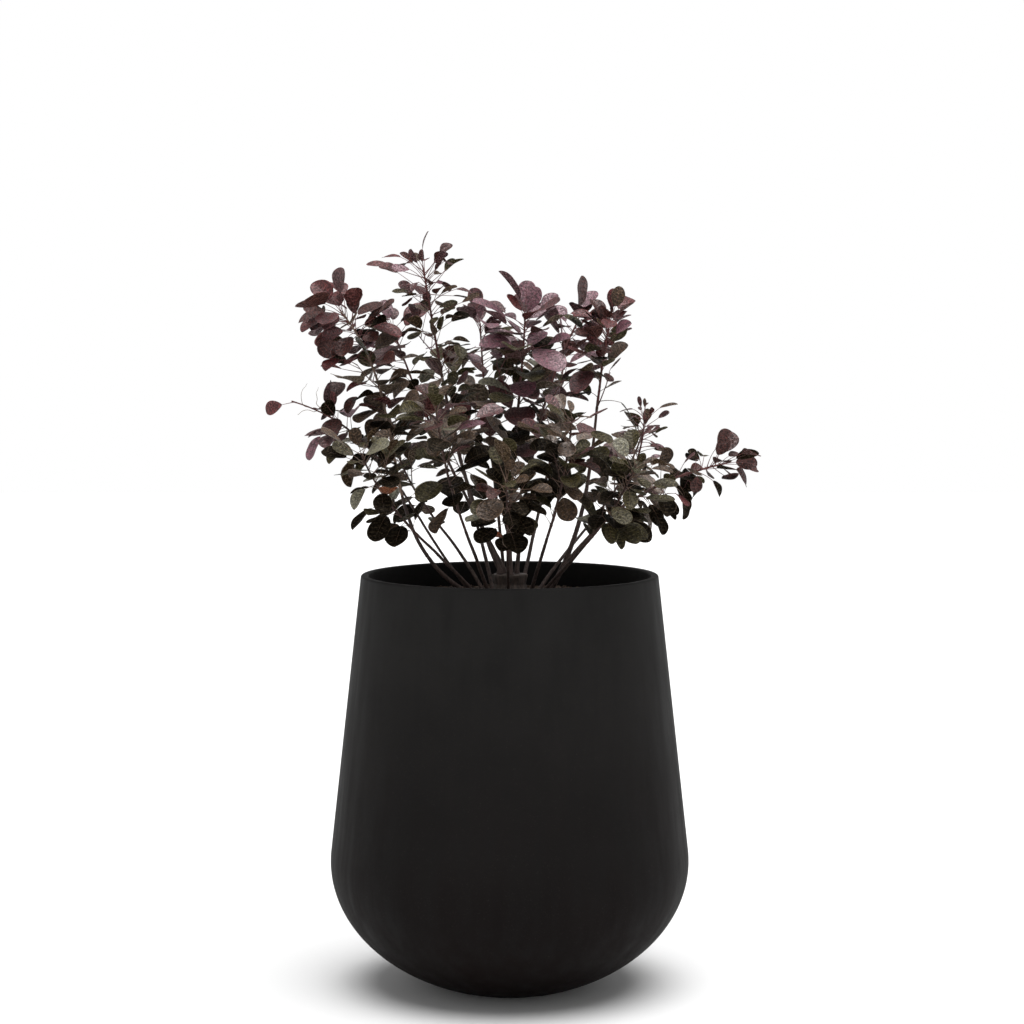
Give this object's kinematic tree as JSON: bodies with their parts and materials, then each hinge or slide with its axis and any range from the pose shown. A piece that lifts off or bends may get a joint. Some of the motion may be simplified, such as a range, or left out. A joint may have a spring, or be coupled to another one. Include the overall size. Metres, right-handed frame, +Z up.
{
  "type": "potted smoke bush",
  "caption": "Purple-leaved smoke bush with many upright leafy shoots rising from one stool, growing in a tall round-bellied dark planter.",
  "frame": {"origin": "centre of the planter's flat foot, where it stands", "axes": "+Z up along the planter's axis, +X to the right of the pictured side, -Y towards its viewer"},
  "size_m": [0.9229, 0.7469, 1.41],
  "materials": {
    "pot": "matte",
    "soil": "matte",
    "bark": "matte",
    "foliage": "satin"
  },
  "bodies": {
    "root": {"pot": "pot", "soil": "soil", "stool": "bark", "rosette_left_bough": "bark", "slant_left_bough": "bark", "tallest_bough": "bark", "inner_left_bough": "bark", "centre_bough": "bark", "inner_right_bough": "bark", "upright_right_bough": "bark", "fine_right_bough": "bark", "arching_right_bough": "bark", "low_left_bough": "bark", "back_left_low_bough": "bark", "front_left_bough": "bark", "front_right_bough": "bark", "back_left_bough": "bark", "back_right_bough": "bark", "front_low_bough": "bark", "front_left_low_bough": "bark", "front_right_low_bough": "bark", "back_right_low_bough": "bark", "rosette_left_foliage": "foliage", "slant_left_foliage": "foliage", "tallest_foliage": "foliage", "inner_left_foliage": "foliage", "centre_foliage": "foliage", "inner_right_foliage": "foliage", "upright_right_foliage": "foliage", "fine_right_foliage": "foliage", "arching_right_foliage": "foliage", "low_left_foliage": "foliage", "back_left_low_foliage": "foliage", "front_left_foliage": "foliage", "front_right_foliage": "foliage", "back_left_foliage": "foliage", "back_right_foliage": "foliage", "front_low_foliage": "foliage", "front_left_low_foliage": "foliage", "front_right_low_foliage": "foliage", "back_right_low_foliage": "foliage"}
  },
  "joints": []
}
